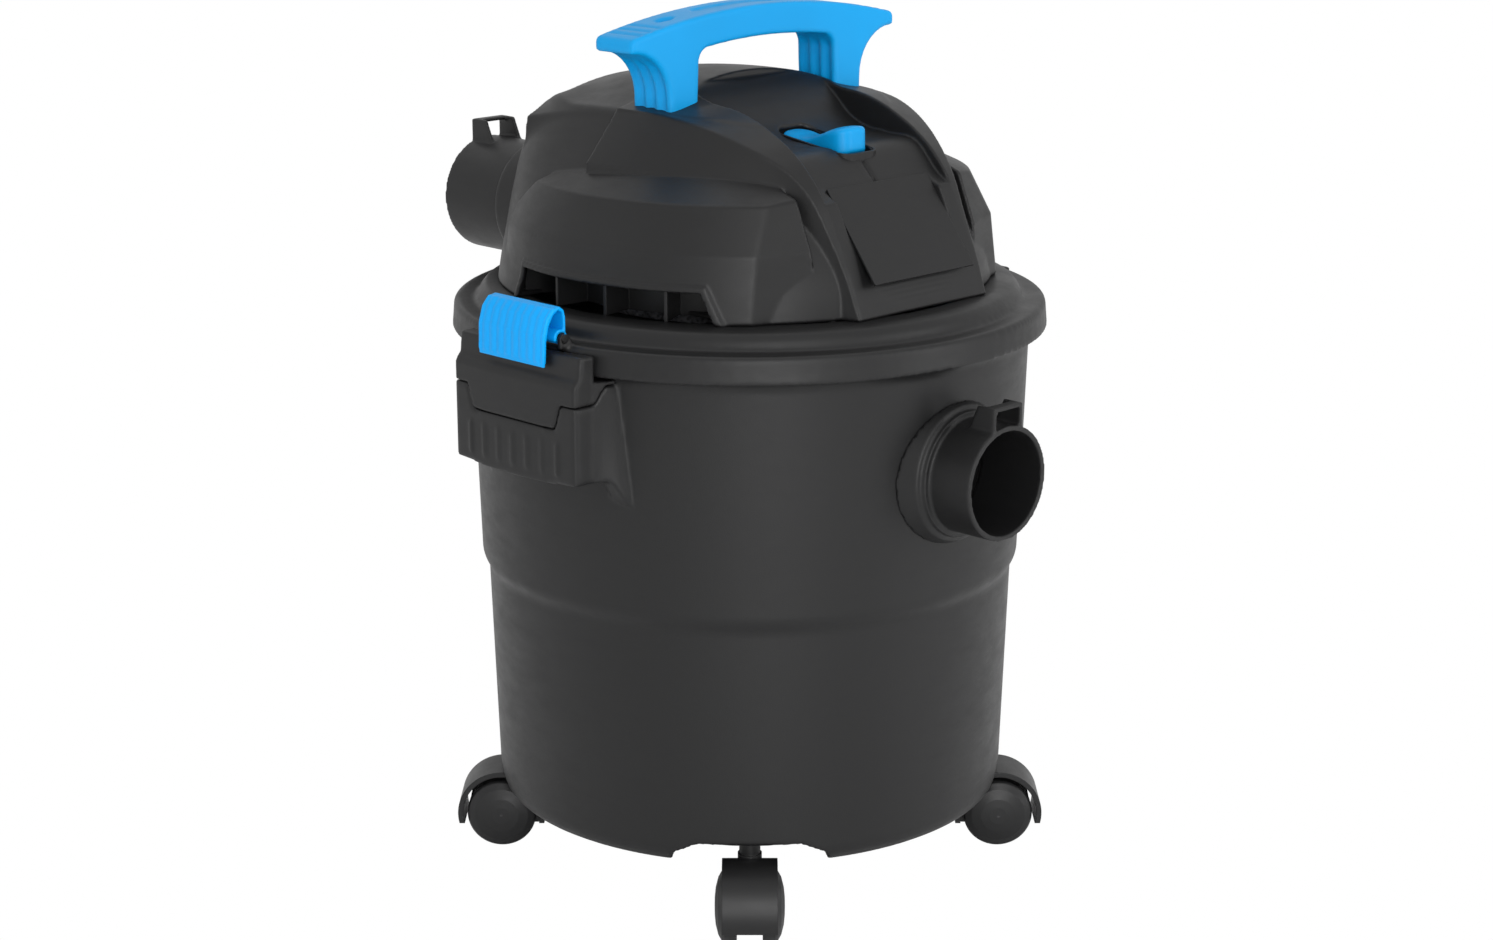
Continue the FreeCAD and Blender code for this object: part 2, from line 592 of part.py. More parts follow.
def panel_window():
    (y0, z0), (y1, z1) = PANEL_TOP, PANEL_BOTTOM
    outline = [(y0 - 20, z0 - 4), (y0 + 20, z0 - 4), (y1 + 24, z1 + 4), (y1 - 20, z1 + 4)]
    return prism_x(outline, -PANEL_HALF + 4, PANEL_HALF - 4)


def front_panel():
    (y0, z0), (y1, z1) = PANEL_TOP, PANEL_BOTTOM
    length = math.hypot(y1 - y0, z1 - z0)
    ny = (z0 - z1) / length
    nz = (y0 - y1) / length
    margin = 0.6
    ty = (y1 - y0) / length
    tz = (z1 - z0) / length
    top = (y0 + ty * margin, z0 + tz * margin)
    low = (y1 - ty * margin, z1 - tz * margin)
    outline = [top, low, (low[0] - ny * 1.2, low[1] + nz * 1.2), (top[0] - ny * 1.2, top[1] + nz * 1.2)]
    return prism_x(outline, -PANEL_HALF + margin, PANEL_HALF - margin)


def vent_grille():
    ribs = []
    for angle in VENT_RIB_ANGLES:
        rib = box(-133.5, -112.0, -0.9, 0.9, RING_TOP_Z, 354.8)
        ribs.append(turned(rib, -angle))
    backing = revolve([(112.0, RING_TOP_Z), (113.8, RING_TOP_Z), (113.8, 354.8), (112.0, 354.8)])
    sector = backing.common(box(-120, -60, -80, 46, 330, 360))
    return sector.fuse(ribs)


GLAND_PLACE = V(46.0, 0, 356.0)


def cord_gland():
    sleeve = tube(7.0, 3.6, V(GLAND_PLACE.x, 118, GLAND_PLACE.z), V(GLAND_PLACE.x, 139, GLAND_PLACE.z))
    collar = tube(9.5, 3.6, V(GLAND_PLACE.x, 139, GLAND_PLACE.z), V(GLAND_PLACE.x, 142.5, GLAND_PLACE.z))
    return sleeve.fuse(collar)


# ---------------------------------------------------------------- handle and switch

def handle(outer):
    """Grip bar on two legs; the legs stand on the housing."""
    def bow(x, ends, middle, reach):
        return ends + (middle - ends) * (1 - (x / reach) ** 2)

    def top(x):
        return bow(x, HANDLE_END_Z, HANDLE_TOP_Z, HANDLE_END_X)

    def under(x):
        return bow(x, GRIP_UNDER_Z - 2.8, GRIP_UNDER_Z, 44.0)

    outline = [(-HANDLE_END_X + 2, top(HANDLE_END_X - 2))]
    outline += [(x, top(x)) for x in range(-90, 91, 10)]
    outline += [(HANDLE_END_X - 2, top(HANDLE_END_X - 2)), (HANDLE_END_X, 475.5), (HANDLE_END_X, 471.0)]
    outward = []
    for step in range(0, 91, 15):
        turn = math.radians(step)
        outward.append((HANDLE_END_X - 1 - 26 * math.sin(turn), 470.0 - 26 * (1 - math.cos(turn))))
    outline += outward
    outline += [(LEG_OUT_X, 425.0), (LEG_IN_X, 425.0), (LEG_IN_X - 1.5, 460.0), (LEG_IN_X - 4, 465.5)]
    outline += [(x, under(x)) for x in range(44, -45, -8)]
    outline += [(-LEG_IN_X + 4, 465.5), (-LEG_IN_X + 1.5, 460.0), (-LEG_IN_X, 425.0), (-LEG_OUT_X, 425.0)]
    outline += [(-x, z) for x, z in reversed(outward)]
    outline += [(-HANDLE_END_X, 471.0), (-HANDLE_END_X, 475.5)]
    shape = prism_y(outline, -HANDLE_HALF, HANDLE_HALF)
    shape = shape.cut(outer)
    for x in (-63.4, 63.4):
        shape = shape.cut(rod(2.2, V(x, 0, 425), V(x, 0, 462)))
    return max(shape.Solids, key=lambda s: s.Volume)


def handle_screws(inner):
    screws = []
    for x in (-63.4, 63.4):
        head = rod(4.0, V(x, 0, 426.5), V(x, 0, 429.5)).common(inner)
        screws.append(head.fuse(rod(2.2, V(x, 0, 429.5), V(x, 0, 460))))
    return group(screws)


def rocker_pin(r, half):
    return rod(r, V(-half, ROCKER_Y, ROCKER_Z), V(half, ROCKER_Y, ROCKER_Z))


def switch_bezel():
    cup = well_tool(1.6, 402.5, 419.6).cut(well_tool(0, 404, 430))
    slot = on_band(box(-5, 5, ROCKER_Y - 8, ROCKER_Y + 8, 395, 410))
    return cup.cut(slot).cut(on_band(rocker_pin(ROCKER_PIN_R + RUNNING_GAP, 20)))


def switch_body():
    case = box(-9, 9, ROCKER_Y - 15, ROCKER_Y + 7, 388, 402.3)
    terminals = [box(-6, -4, ROCKER_Y - 10, ROCKER_Y - 8, 381, 388), box(4, 6, ROCKER_Y - 1, ROCKER_Y + 1, 381, 388)]
    return on_band(case.fuse(terminals))


def rocker():
    """See-saw button: dished top, curved underside; drawn level, then tilted front end up."""
    outline = [(-24.5, 418.0), (-23.5, 424.0), (-18.0, 425.4), (-10.0, 423.6), (0.0, 422.4), (10.0, 423.6),
               (18.0, 425.4), (23.5, 424.0), (24.5, 418.0), (20.0, 412.5), (12.0, 408.6), (-12.0, 408.6), (-20.0, 412.5)]
    shape = prism_x([(ROCKER_Y + y, z) for y, z in outline], -ROCKER_HALF_WIDTH, ROCKER_HALF_WIDTH)
    shape = shape.common(rounded_plan(ROCKER_HALF_WIDTH, ROCKER_HALF_LENGTH, 5, 400, 430))
    shape = shape.fuse(rocker_pin(ROCKER_PIN_R, WELL_HALF_WIDTH + 1.2))
    return on_band(turned(shape, -ROCKER_REST_TILT, V(0, ROCKER_Y, ROCKER_Z), X_AXIS))


# ---------------------------------------------------------------- motor

def motor_gasket():
    return tube(SHROUD_R, 58, V(0, 0, LID_TOP_Z), V(0, 0, SHROUD_BOTTOM))


def fan_shroud():
    outer = rod(SHROUD_R, V(0, 0, SHROUD_BOTTOM), V(0, 0, SHROUD_TOP))
    inner = rod(SHROUD_R - 2, V(0, 0, SHROUD_BOTTOM + 2), V(0, 0, SHROUD_TOP - 2))
    shape = outer.cut(inner).cut(rod(26, V(0, 0, 320), V(0, 0, 335)))
    shape = shape.fuse(rod(13, V(0, 0, SHROUD_TOP - 2), V(0, 0, LOWER_BEARING[1])))
    shape = shape.cut(rod(11, V(0, 0, LOWER_BEARING[0]), V(0, 0, 365))).cut(rod(6, V(0, 0, 340), V(0, 0, 365)))
    for k in range(12):
        port = turned(box(SHROUD_R - 6, SHROUD_R + 2, -9, 9, SHROUD_BOTTOM + 5, SHROUD_TOP - 5), 30 * k)
        shape = shape.cut(port)
    return shape


def impeller():
    lower = tube(FAN_R, 24, V(0, 0, 334), V(0, 0, 335.2))
    upper = rod(FAN_R, V(0, 0, 344.8), V(0, 0, 346))
    hub = rod(9, V(0, 0, 338), V(0, 0, 346))
    blades = []
    for k in range(8):
        arc = tube(47, 45.6, V(45, 0, 335.2), V(45, 0, 344.8))
        keep = tube(FAN_R - 1, 20, V(0, 0, 335.2), V(0, 0, 344.8))
        blades.append(turned(arc.common(keep).common(box(0, 60, 0, 60, 330, 350)), 45 * k))
    shape = upper.fuse([hub] + blades).fuse(lower)
    return shape.cut(rod(SHAFT_R, V(0, 0, 320), V(0, 0, 360)))


def motor_shaft():
    return rod(SHAFT_R, V(0, 0, 336), V(0, 0, 416))


def armature():
    core = rod(ARMATURE_R, V(0, 0, CORE_Z[0]), V(0, 0, CORE_Z[1]))
    for k in range(12):
        core = core.cut(turned(box(ARMATURE_R - 6, ARMATURE_R + 1, -1.1, 1.1, CORE_Z[0] - 1, CORE_Z[1] + 1), 30 * k))
    ends = [rod(20, V(0, 0, CORE_Z[0] - 2.5), V(0, 0, CORE_Z[0])), rod(20, V(0, 0, CORE_Z[1]), V(0, 0, CORE_Z[1] + 3))]
    return core.fuse(ends).cut(rod(SHAFT_R, V(0, 0, 350), V(0, 0, 410)))


def commutator():
    low, high = COMMUTATOR_Z
    shape = tube(12, SHAFT_R, V(0, 0, low), V(0, 0, high))
    for k in range(16):
        shape = shape.cut(turned(box(11.2, 13, -0.3, 0.3, low + 1, high + 1), 22.5 * k))
    return shape


def cooling_fan():
    hub = rod(9, V(0, 0, 411.6), V(0, 0, 416))
    disc = rod(26, V(0, 0, 411.6), V(0, 0, 412.6))
    blades = [turned(box(8, 25, -0.7, 0.7, 412.2, 416), 40 * k) for k in range(9)]
    return hub.fuse([disc] + blades).cut(rod(SHAFT_R, V(0, 0, 400), V(0, 0, 425)))


def stator():
    core = tube(STATOR_R, STATOR_BORE, V(0, 0, CORE_Z[0]), V(0, 0, CORE_Z[1]))
    for end in (-1, 1):
        low, high = sorted((end * 42, end * 60))
        core = core.cut(box(-60, 60, low, high, 350, 410))
        low, high = sorted((end * (STATOR_BORE - 3), end * (STATOR_BORE + 7)))
        core = core.cut(box(low, high, -7, 7, 350, 410))
    return core


def field_coils():
    rings = []
    for z0, z1 in ((CORE_Z[0] - 5, CORE_Z[0]), (CORE_Z[1], CORE_Z[1] + 3)):
        ring = tube(41, 31, V(0, 0, z0), V(0, 0, z1))
        rings += [ring.common(box(-60, 60, 4, 60, 300, 450)), ring.common(box(-60, 60, -60, -4, 300, 450))]
    return group(rings)


def bearings():
    lower = tube(11, SHAFT_R + RUNNING_GAP, V(0, 0, LOWER_BEARING[0]), V(0, 0, LOWER_BEARING[1]))
    upper = tube(9.5, SHAFT_R + RUNNING_GAP, V(0, 0, UPPER_BEARING[0]), V(0, 0, UPPER_BEARING[1]))
    return group([lower, upper])


def motor_bracket():
    low, high = BRACKET_Z
    bar = box(-52, 52, -9, 9, low, high)
    legs = [box(x - 2, x + 2, -9, 9, SHROUD_TOP, high) for x in (-50, 50)]
    feet = [box(x - 7, x + 7, -9, 9, SHROUD_TOP, SHROUD_TOP + 3) for x in (-50, 50)]
    boss = rod(16, V(0, 0, low), V(0, 0, high))
    shape = bar.fuse(legs + feet + [boss])
    return shape.cut(rod(9.5, V(0, 0, UPPER_BEARING[0]), V(0, 0, high + 1))).cut(rod(6, V(0, 0, 390), V(0, 0, 430)))


def brush_holders():
    holders = []
    low = COMMUTATOR_Z[0] + 1
    for end in (0, 180):
        brush = box(-2.5, 2.5, 12.5, 20, low + 2, low + 7)
        case = box(-4, 4, 16, 33, low, low + 8.6).cut(box(-2.5, 2.5, 10, 20, low + 2, low + 7))
        link = box(-4, 4, 12.6, 33, low + 8.6, BRACKET_Z[0])
        holders.append(turned(case.fuse([brush, link]), end))
    return group(holders)


def sound_foam():
    ring = tube(92, 80, V(0, 0, LID_TOP_Z), V(0, 0, 368))
    return ring.cut(box(-200, 200, 60, 200, 300, 400))


# ---------------------------------------------------------------- filter and float

def float_cage():
    flange = tube(CAGE_R + 7, CAGE_R - CAGE_WALL, V(0, 0, 322), V(0, 0, LID_UNDER_Z))
    wall = tube(CAGE_R, CAGE_R - CAGE_WALL, V(0, 0, CAGE_BOTTOM), V(0, 0, 322))
    bottom = rod(CAGE_R, V(0, 0, CAGE_BOTTOM), V(0, 0, CAGE_BOTTOM + 2.5))
    shape = flange.fuse([wall, bottom])
    for k in range(8):
        for z0 in (224, 256, 288):
            slot = turned(box(CAGE_R - 6, CAGE_R + 2, -12, 12, z0, z0 + 24), 45 * k)
            shape = shape.cut(slot)
    for k in range(6):
        shape = shape.cut(turned(box(14, 38, -4, 4, CAGE_BOTTOM - 1, CAGE_BOTTOM + 4), 60 * k))
    return shape


def float_cup():
    z0 = CAGE_BOTTOM + 2.8
    outer = revolve([(0, z0), (FLOAT_R - 4, z0), (FLOAT_R, z0 + 4), (FLOAT_R, z0 + FLOAT_HEIGHT - 6),
                     (FLOAT_R - 6, z0 + FLOAT_HEIGHT), (0, z0 + FLOAT_HEIGHT)])
    inner = revolve([(0, z0 - 1), (FLOAT_R - 6, z0 - 1), (FLOAT_R - 2, z0 + 5), (FLOAT_R - 2, z0 + FLOAT_HEIGHT - 7),
                     (FLOAT_R - 7, z0 + FLOAT_HEIGHT - 2), (0, z0 + FLOAT_HEIGHT - 2)])
    return outer.cut(inner)


def foam_filter():
    return revolve([(CAGE_R + 0.1, 318), (CAGE_R + 0.1, CAGE_BOTTOM - 0.3), (0, CAGE_BOTTOM - 0.3), (0, CAGE_BOTTOM - 9),
                    (FILTER_R - 5, CAGE_BOTTOM - 9), (FILTER_R, CAGE_BOTTOM - 4), (FILTER_R, 318)])


def filter_clamp():
    return tube(FILTER_R + 2.4, FILTER_R, V(0, 0, 304), V(0, 0, 311))


# ---------------------------------------------------------------- build

def all_parts():
    outer = head_solid(0)
    inner = head_solid(HEAD_WALL)
    wall, base, latch_boxes = drum_parts()
    parts = {
        "drum": wall, "drum_base": base, "drum_latch_boxes": latch_boxes, "inlet_port": inlet_port(), "inlet_seal": inlet_seal(),
        "inlet_deflector": inlet_deflector(),
        "caster_sockets": group([turned(caster_socket(), a) for a in CASTER_ANGLES.values()]),
        "lid_flange": lid_flange(), "lid_gasket": lid_gasket(), "housing_screws": housing_screws(),
        "head_housing": head_housing(outer), "front_panel": front_panel(), "exhaust_port": exhaust_port(),
        "cord_gland": cord_gland(), "handle": handle(outer), "handle_screws": handle_screws(inner),
        "switch_bezel": switch_bezel(), "switch_body": switch_body(), "rocker": rocker(),
        "motor_gasket": motor_gasket(), "fan_shroud": fan_shroud(), "impeller": impeller(),
        "motor_shaft": motor_shaft(), "armature": armature(), "commutator": commutator(),
        "cooling_fan": cooling_fan(), "stator": stator(), "field_coils": field_coils(),
        "bearings": bearings(), "motor_bracket": motor_bracket(), "brush_holders": brush_holders(),
        "sound_foam": sound_foam(), "float_cage": float_cage(), "float_cup": float_cup(),
        "foam_filter": foam_filter(), "filter_clamp": filter_clamp(),
    }
    for name, side in SIDES.items():
        parts["catch_block_" + name] = for_side(catch_block(), side)
        parts["latch_pin_" + name] = for_side(latch_pin(), side)
        parts["latch_" + name] = for_side(latch(), side)
        parts["vent_grille_" + name] = for_side(vent_grille(), side)
    for name, angle in CASTER_ANGLES.items():
        parts["caster_hood_" + name] = turned(caster_hood(), angle)
        parts["caster_stem_" + name] = turned(caster_stem(), angle)
        parts["caster_axle_" + name] = turned(caster_axle(), angle)
        parts["caster_wheels_" + name] = turned(caster_wheels(), angle)
    return parts


def main():
    os.makedirs("parts", exist_ok=True)
    for name, shape in all_parts().items():
        clean = shape.removeSplitter() if shape.ShapeType != "Compound" or len(shape.Solids) == 1 else shape
        print(name, "solids", len(clean.Solids), "valid", clean.isValid(), "volume", round(clean.Volume))
        clean.exportStep("parts/" + name + ".step")


main()
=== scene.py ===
import json
import math

import bpy
import numpy as np
import openvdb
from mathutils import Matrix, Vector


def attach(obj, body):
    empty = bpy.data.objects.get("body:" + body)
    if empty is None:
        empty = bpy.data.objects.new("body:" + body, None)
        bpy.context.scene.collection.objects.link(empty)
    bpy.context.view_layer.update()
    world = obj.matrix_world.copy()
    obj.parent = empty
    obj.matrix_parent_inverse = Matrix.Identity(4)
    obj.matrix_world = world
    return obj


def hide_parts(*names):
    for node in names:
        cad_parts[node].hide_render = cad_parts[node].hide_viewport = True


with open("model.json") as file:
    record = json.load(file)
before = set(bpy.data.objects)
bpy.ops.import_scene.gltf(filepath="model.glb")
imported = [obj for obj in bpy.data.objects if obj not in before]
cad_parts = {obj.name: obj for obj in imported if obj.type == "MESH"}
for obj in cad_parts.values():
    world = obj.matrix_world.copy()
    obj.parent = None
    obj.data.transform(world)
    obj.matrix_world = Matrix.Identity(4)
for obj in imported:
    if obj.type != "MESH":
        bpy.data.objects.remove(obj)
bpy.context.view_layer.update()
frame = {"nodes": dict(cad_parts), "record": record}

MM = 0.001
NODES = frame["nodes"]
RECORD = frame["record"]
BODY_OF = {node: body for body, nodes in RECORD["behaviour"]["bodies"].items() for node in nodes}
SLOT_OF = {part["node"]: part["material_slot"] for part in RECORD["subparts"]}


# ------------------------------------------------------------ materials

STIPPLE_SCALE = 1400.0
FOAM_CELL_SCALE = 520.0


class Shader:
    """A principled material with short calls for adding and linking nodes."""

    def __init__(self, name):
        self.material = bpy.data.materials.new(name)
        self.material.use_nodes = True
        self.tree = self.material.node_tree
        self.surface = self.tree.nodes["Principled BSDF"]
        self.place = self.add("ShaderNodeTexCoord").outputs["Object"]

    def add(self, kind, **values):
        node = self.tree.nodes.new(kind)
        for key, value in values.items():
            if hasattr(node, key):
                setattr(node, key, value)
            else:
                node.inputs[key.replace("_", " ").title()].default_value = value
        return node

    def link(self, start, end):
        self.tree.links.new(start, end)

    def noise(self, scale, detail=2.0, roughness=0.5, stretch=None):
        node = self.add("ShaderNodeTexNoise")
        node.inputs["Scale"].default_value = scale
        node.inputs["Detail"].default_value = detail
        node.inputs["Roughness"].default_value = roughness
        place = self.place
        if stretch:
            mapping = self.add("ShaderNodeMapping")
            mapping.inputs["Scale"].default_value = stretch
            self.link(place, mapping.inputs["Vector"])
            place = mapping.outputs["Vector"]
        self.link(place, node.inputs["Vector"])
        return node.outputs["Fac"]

    def ranged(self, value, low, high, to_low, to_high):
        node = self.add("ShaderNodeMapRange")
        for key, number in zip(("From Min", "From Max", "To Min", "To Max"), (low, high, to_low, to_high)):
            node.inputs[key].default_value = number
        self.link(value, node.inputs["Value"])
        return node.outputs["Result"]

    def mix(self, factor, first, second):
        """Mix two colours, or a linked colour with a plain one."""
        node = self.add("ShaderNodeMix", data_type="RGBA")
        if hasattr(factor, "is_output"):
            self.link(factor, node.inputs[0])
        else:
            node.inputs[0].default_value = factor
        for socket, colour in ((node.inputs[6], first), (node.inputs[7], second)):
            if hasattr(colour, "is_output"):
                self.link(colour, socket)
            else:
                socket.default_value = (*colour, 1.0)
        return node.outputs[2]

    def bump(self, height, strength, distance, normal=None):
        node = self.add("ShaderNodeBump")
        node.inputs["Strength"].default_value = strength
        node.inputs["Distance"].default_value = distance
        self.link(height, node.inputs["Height"])
        if normal:
            self.link(normal, node.inputs["Normal"])
        return node.outputs["Normal"]

    def rounded_normal(self, radius):
        node = self.add("ShaderNodeBevel", samples=4)
        node.inputs["Radius"].default_value = radius
        return node.outputs["Normal"]

    def edges(self, radius):
        """About 1 on worn outer edges and 0 on flat faces."""
        bevel = self.rounded_normal(radius)
        geometry = self.add("ShaderNodeNewGeometry")
        dot = self.add("ShaderNodeVectorMath", operation="DOT_PRODUCT")
        self.link(bevel, dot.inputs[0])
        self.link(geometry.outputs["Normal"], dot.inputs[1])
        return self.ranged(dot.outputs["Value"], 0.995, 0.85, 0.0, 1.0)


def moulded(name, colour, roughness, grain=0.05, edge=0.8, specular=0.5, wear=0.35):
    """Injection-moulded plastic: fine stipple, faint flow marks, handling wear on the edges."""
    s = Shader(name)
    stipple = s.noise(STIPPLE_SCALE, 3.0, 0.6)
    flow = s.noise(7.0, 3.0, 0.55, stretch=(1.0, 1.0, 0.35))
    scuffs = s.noise(46.0, 6.0, 0.7, stretch=(1.0, 1.0, 2.6))
    pale = tuple(min(1.0, c * 1.7 + 0.012) for c in colour)
    dark = tuple(c * 0.86 for c in colour)
    body = s.mix(s.ranged(flow, 0.35, 0.65, 0.0, 1.0), dark, colour)
    worn = s.add("ShaderNodeMath", operation="MULTIPLY")
    s.link(s.edges(edge * MM), worn.inputs[0])
    s.link(s.ranged(scuffs, 0.42, 0.66, 0.0, wear), worn.inputs[1])
    s.link(s.mix(worn.outputs[0], body, pale), s.surface.inputs["Base Color"])
    mottled = s.ranged(scuffs, 0.3, 0.7, roughness - 0.05, roughness + 0.06)
    s.link(mottled, s.surface.inputs["Roughness"])
    s.surface.inputs["Specular IOR Level"].default_value = specular
    soft = s.rounded_normal(edge * MM)
    waves = s.bump(flow, 0.06, 0.4 * MM, soft)
    s.link(s.bump(stipple, grain, 0.12 * MM, waves), s.surface.inputs["Normal"])
    return s.material


def metal(name, colour, roughness, brushed=True):
    """Plain metal with fine brushing and stains."""
    s = Shader(name)
    s.surface.inputs["Metallic"].default_value = 1.0
    lines = s.noise(300.0, 2.0, 0.6, stretch=(1.0, 1.0, 14.0) if brushed else None)
    stain = s.noise(30.0, 4.0, 0.6)
    dark = tuple(c * 0.72 for c in colour)
    s.link(s.mix(s.ranged(stain, 0.35, 0.7, 0.0, 1.0), dark, colour), s.surface.inputs["Base Color"])
    s.link(s.ranged(lines, 0.3, 0.7, roughness - 0.08, roughness + 0.1), s.surface.inputs["Roughness"])
    s.link(s.bump(lines, 0.15, 0.05 * MM, s.rounded_normal(0.3 * MM)), s.surface.inputs["Normal"])
    return s.material


def foam(name, colour):
    """Open-cell foam: small pores with painted shade in them, and painted light on the cell walls between.
    """
    s = Shader(name)
    cells = s.add("ShaderNodeTexVoronoi", feature="SMOOTH_F1")
    cells.inputs["Scale"].default_value = FOAM_CELL_SCALE
    s.link(s.place, cells.inputs["Vector"])
    # painted shade: the pores are coloured dark as the shade inside the cells
    painted_pore_shade = s.ranged(cells.outputs["Distance"], 0.15, 0.6, 0.0, 1.0)
    patches = s.noise(24.0, 4.0, 0.6)
    # painted light: the cell walls between the pores are coloured lighter, as if lit
    painted_wall_light = tuple(c * 2.2 + 0.02 for c in colour)
    body = s.mix(painted_pore_shade, tuple(c * 0.3 for c in colour), painted_wall_light)
    s.link(s.mix(s.ranged(patches, 0.3, 0.7, 0.0, 0.45), body, colour), s.surface.inputs["Base Color"])
    s.surface.inputs["Roughness"].default_value = 0.95
    s.link(s.bump(cells.outputs["Distance"], 0.8, 0.8 * MM), s.surface.inputs["Normal"])
    return s.material


MATERIALS = {
    "charcoal_plastic": moulded("charcoal_plastic", (0.0092, 0.0092, 0.0096), 0.44,
                                grain=0.35, edge=0.7, specular=0.36),
    "blue_plastic": moulded("blue_plastic", (0.002, 0.33, 0.74), 0.38,
                            grain=0.12, edge=1.4, wear=0.2, specular=0.2),
    "latch_blue": moulded("latch_blue", (0.0005, 0.385, 0.94), 0.34,
                          grain=0.10, edge=0.8, wear=0.2, specular=0.2),
    "caster_plastic": moulded("caster_plastic", (0.0095, 0.0095, 0.010), 0.40,
                              grain=0.2, edge=0.9, specular=0.4),
    "rubber": moulded("rubber", (0.02, 0.02, 0.02), 0.75, grain=0.4, edge=0.5),
    "steel": metal("steel", (0.6, 0.6, 0.6), 0.3),
    "lamination": metal("lamination", (0.3, 0.3, 0.31), 0.45),
    "copper": metal("copper", (0.75, 0.42, 0.22), 0.35),
    "fan_metal": metal("fan_metal", (0.75, 0.75, 0.77), 0.3),
    "foam": foam("foam", (0.06, 0.06, 0.065)),
    "insulating_plastic": moulded("insulating_plastic", (0.12, 0.09, 0.07), 0.5),
    "float_plastic": moulded("float_plastic", (0.7, 0.7, 0.68), 0.4),
}

for node, obj in NODES.items():
    obj.data.materials.clear()
    obj.data.materials.append(MATERIALS[SLOT_OF[node]])


# ------------------------------------------------------------ pieces

def stand_for(piece, *nodes):
    """piece takes the nodes' place, body and finish."""
    slot = SLOT_OF[nodes[0]]
    piece.data.materials.clear()
    piece.data.materials.append(MATERIALS[slot])
    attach(piece, BODY_OF[nodes[0]])
    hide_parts(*nodes)
    return piece


def settled(obj):
    """obj with its modifiers worked into its mesh."""
    bpy.context.view_layer.update()
    graph = bpy.context.evaluated_depsgraph_get()
    mesh = bpy.data.meshes.new_from_object(obj.evaluated_get(graph))
    obj.modifiers.clear()
    old = obj.data
    obj.data = mesh
    bpy.data.meshes.remove(old)
    return obj


def softened(node, voxel, passes, name=None):
    """The node's shape with moulded, rounded edges."""
    mesh = NODES[node].data.copy()
    piece = bpy.data.objects.new(name or node + "_moulding", mesh)
    bpy.context.scene.collection.objects.link(piece)
    remesh = piece.modifiers.new("cells", "REMESH")
    remesh.mode = "VOXEL"
    remesh.voxel_size = voxel * MM
    smooth = piece.modifiers.new("round", "SMOOTH")
    smooth.factor = 0.5
    smooth.iterations = passes
    settled(piece)
    piece.data.polygons.foreach_set("use_smooth", [True] * len(piece.data.polygons))
    return stand_for(piece, node)


SOFT = {
    "lid_flange": (1.4, 3),
    "inlet_port": (0.9, 3),
    "exhaust_port": (0.9, 3),
}
for node, (voxel, passes) in SOFT.items():
    softened(node, voxel, passes)


def foam_piece(node, voxel, unevenness):
    """The node's shape as cut foam: rounded edges and a slightly uneven, pitted skin."""
    piece = softened(node, voxel, 6, node + "_cushion")
    for index, size in enumerate((22.0, 5.0)):
        clouds = bpy.data.textures.new(f"{node}_lumps_{index}", "CLOUDS")
        clouds.noise_scale = size * MM
        lumps = piece.modifiers.new(f"lumps_{index}", "DISPLACE")
        lumps.texture = clouds
        lumps.strength = unevenness * MM / (index + 1)
        lumps.mid_level = 0.75
    settled(piece)


foam_piece("foam_filter", 1.5, 1.6)
foam_piece("sound_foam", 1.2, 0.8)


# ------------------------------------------------------------ solid shapes as distance fields

class Field:
    """A block of sample points, in millimetres, on which shapes are distances: negative inside."""

    def __init__(self, low, high, step):
        self.low = np.array(low, dtype=float)
        self.step = step
        counts = np.ceil((np.array(high) - self.low) / step).astype(int) + 1
        axes = [self.low[i] + step * np.arange(counts[i]) for i in range(3)]
        self.x = axes[0][:, None, None]
        self.y = axes[1][None, :, None]
        self.z = axes[2][None, None, :]
        self.shape = tuple(counts)

    def mesh(self, distance, name):
        """Object whose surface is where the distance is zero."""
        grid = openvdb.FloatGrid()
        full = np.clip(np.broadcast_to(distance, self.shape), -8.0, 8.0).astype(np.float32)
        for axis in range(3):
            edge = [slice(None)] * 3
            for end in (0, -1):
                edge[axis] = end
                full[tuple(edge)] = 8.0
        grid.copyFromArray(full)
        points, triangles, quads = grid.convertToPolygons(isovalue=0.0, adaptivity=0.0)
        points = (points * self.step + self.low) * MM
        faces = [tuple(f[::-1]) for f in quads.tolist()] + [tuple(f[::-1]) for f in triangles.tolist()]
        mesh = bpy.data.meshes.new(name)
        mesh.from_pydata(points.tolist(), [], faces)
        mesh.polygons.foreach_set("use_smooth", [True] * len(mesh.polygons))
        piece = bpy.data.objects.new(name, mesh)
        bpy.context.scene.collection.objects.link(piece)
        return piece


def union(a, b, soft=0.0):
    if soft == 0.0:
        return np.minimum(a, b)
    share = np.clip(0.5 + 0.5 * (b - a) / soft, 0.0, 1.0)
    return b * (1 - share) + a * share - soft * share * (1 - share)


def both(a, b, soft=0.0):
    return -union(-a, -b, soft)


def cut(a, b, soft=0.0):
    return both(a, -b, soft)


def curve(points, at):
    """Smooth curve through (position, value) points, read at the given positions."""
    xs = np.array([p[0] for p in points], dtype=float)
    ys = np.array([p[1] for p in points], dtype=float)
    slopes = np.gradient(ys, xs)
    at = np.clip(at, xs[0], xs[-1])
    k = np.clip(np.searchsorted(xs, at) - 1, 0, len(xs) - 2)
    width = xs[k + 1] - xs[k]
    t = (at - xs[k]) / width
    return ((2 * t ** 3 - 3 * t ** 2 + 1) * ys[k] + (t ** 3 - 2 * t ** 2 + t) * width * slopes[k]
            + (-2 * t ** 3 + 3 * t ** 2) * ys[k + 1] + (t ** 3 - t ** 2) * width * slopes[k + 1])


def slab(u, v, outline):
    """Distance to a convex outline of (u, v) points, given anticlockwise."""
    result = None
    for (u0, v0), (u1, v1) in zip(outline, outline[1:] + outline[:1]):
        length = math.hypot(u1 - u0, v1 - v0)
        side = ((u - u0) * (v1 - v0) - (v - v0) * (u1 - u0)) / length
        result = side if result is None else np.maximum(result, side)
    return result


